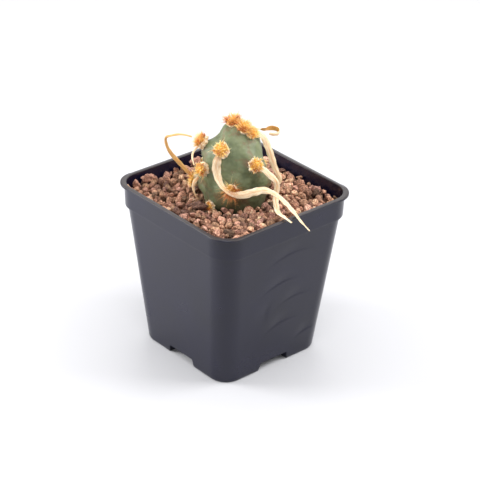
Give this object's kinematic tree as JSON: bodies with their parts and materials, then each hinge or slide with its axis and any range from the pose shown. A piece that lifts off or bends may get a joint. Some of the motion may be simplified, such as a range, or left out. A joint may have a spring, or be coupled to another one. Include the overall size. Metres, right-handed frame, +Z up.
{
  "type": "potted pine cone cactus",
  "caption": "Small potted pine cone cactus: one egg-shaped stem with tufted areoles and long papery ribbon spines, in reddish grit in a square tapered plastic nursery pot.",
  "frame": {"origin": "middle of the flat underside of the pot, on the surface that the pot stands on", "axes": "+Z up; the pot's four sides face +X, -X, +Y and -Y, and the long front spine hangs over the rim on the +X side"},
  "size_m": [0.0776, 0.07, 0.1049],
  "materials": {
    "pot_plastic": "satin",
    "grit": "rough",
    "stem": "matte",
    "papery_spine": "dry and papery",
    "wool": "woolly",
    "glochids": "bristly"
  },
  "bodies": {
    "root": {"pot": "pot_plastic", "grit": "grit", "stem": "stem", "spine_long_front": "papery_spine", "spine_right_front": "papery_spine", "spine_crown_right": "papery_spine", "spine_crown_curl": "papery_spine", "spine_left_fold": "papery_spine", "spine_left_thread": "papery_spine", "spine_left_low": "papery_spine", "spine_back_long": "papery_spine", "spine_back_left": "papery_spine", "spine_back_low": "papery_spine", "wool_upper_left": "wool", "wool_upper_front": "wool", "wool_left": "wool", "wool_right_front": "wool", "wool_low_front": "wool", "wool_soil_left": "wool", "wool_left_back": "wool", "wool_crown_left": "wool", "wool_crown_middle": "wool", "wool_crown_right": "wool", "wool_back_upper_left": "wool", "wool_back_upper_right": "wool", "wool_back_right": "wool", "wool_back_left": "wool", "wool_back_low": "wool", "glochids_upper_left": "glochids", "glochids_upper_front": "glochids", "glochids_left": "glochids", "glochids_right_front": "glochids", "glochids_low_front": "glochids", "glochids_soil_left": "glochids", "glochids_left_back": "glochids", "glochids_crown_left": "glochids", "glochids_crown_middle": "glochids", "glochids_crown_right": "glochids", "glochids_back_upper_left": "glochids", "glochids_back_upper_right": "glochids", "glochids_back_right": "glochids", "glochids_back_left": "glochids", "glochids_back_low": "glochids"}
  },
  "joints": []
}
